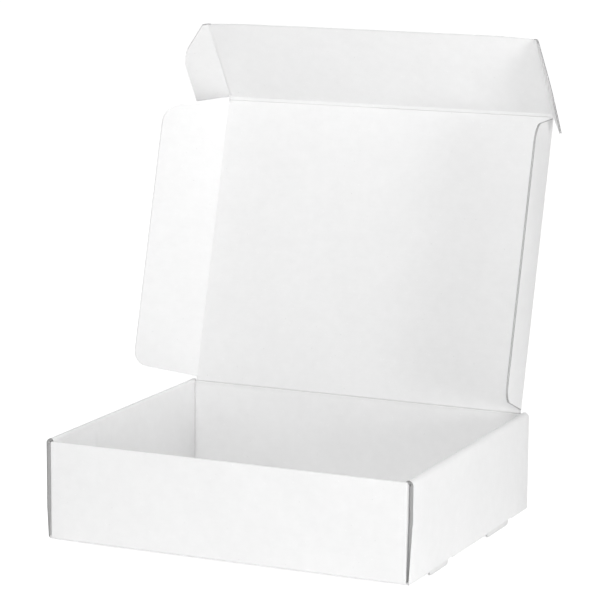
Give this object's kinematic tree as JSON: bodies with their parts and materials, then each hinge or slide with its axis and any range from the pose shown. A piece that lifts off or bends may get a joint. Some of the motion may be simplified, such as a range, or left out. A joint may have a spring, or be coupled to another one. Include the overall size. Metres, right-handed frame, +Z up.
{
  "type": "mailer box",
  "caption": "White corrugated board mailing box, folded up from one sheet, with rolled side walls, a hinged lid, dust flaps and a tuck flap with ears.",
  "frame": {"origin": "centre of the flat underside of the base", "axes": "+X to the right seen from the front, +Y to the back where the lid hinges, +Z up"},
  "size_m": [0.2986, 0.265, 0.3275],
  "materials": {
    "white_board": "matte"
  },
  "bodies": {
    "tray": {"tray": "white_board"},
    "lid": {"lid": "white_board"},
    "tuck_flap": {"tuck_flap": "white_board"},
    "dust_flap_left": {"dust_flap_left": "white_board"},
    "dust_flap_right": {"dust_flap_right": "white_board"},
    "ear_left": {"ear_left": "white_board"},
    "ear_right": {"ear_right": "white_board"}
  },
  "joints": [
    {"name": "lid_hinge", "type": "hinge", "parent": "tray", "child": "lid", "pos_m": [0, 0.1045, 0.0673], "axis": [-1, 0, 0], "range_deg": [-20, 74.8]},
    {"name": "tuck_fold", "type": "hinge", "parent": "lid", "child": "tuck_flap", "pos_m": [0, 0.15898, 0.26783], "axis": [1, 0, 0], "range_deg": [-49, 36]},
    {"name": "dust_fold_left", "type": "hinge", "parent": "lid", "child": "dust_flap_left", "pos_m": [-0.12395, 0.1045, 0.0673], "axis": [0, 0.2622, 0.965], "range_deg": [-38.7, 70]},
    {"name": "dust_fold_right", "type": "hinge", "parent": "lid", "child": "dust_flap_right", "pos_m": [0.12395, 0.1045, 0.0673], "axis": [0, -0.2622, -0.965], "range_deg": [-14.5, 18]},
    {"name": "ear_fold_left", "type": "hinge", "parent": "tuck_flap", "child": "ear_left", "pos_m": [-0.12395, 0.15898, 0.26783], "axis": [0, -0.5563, 0.831], "range_deg": [-18.6, 14]},
    {"name": "ear_fold_right", "type": "hinge", "parent": "tuck_flap", "child": "ear_right", "pos_m": [0.12395, 0.15898, 0.26783], "axis": [0, 0.5563, -0.831], "range_deg": [-60.4, 8]}
  ]
}
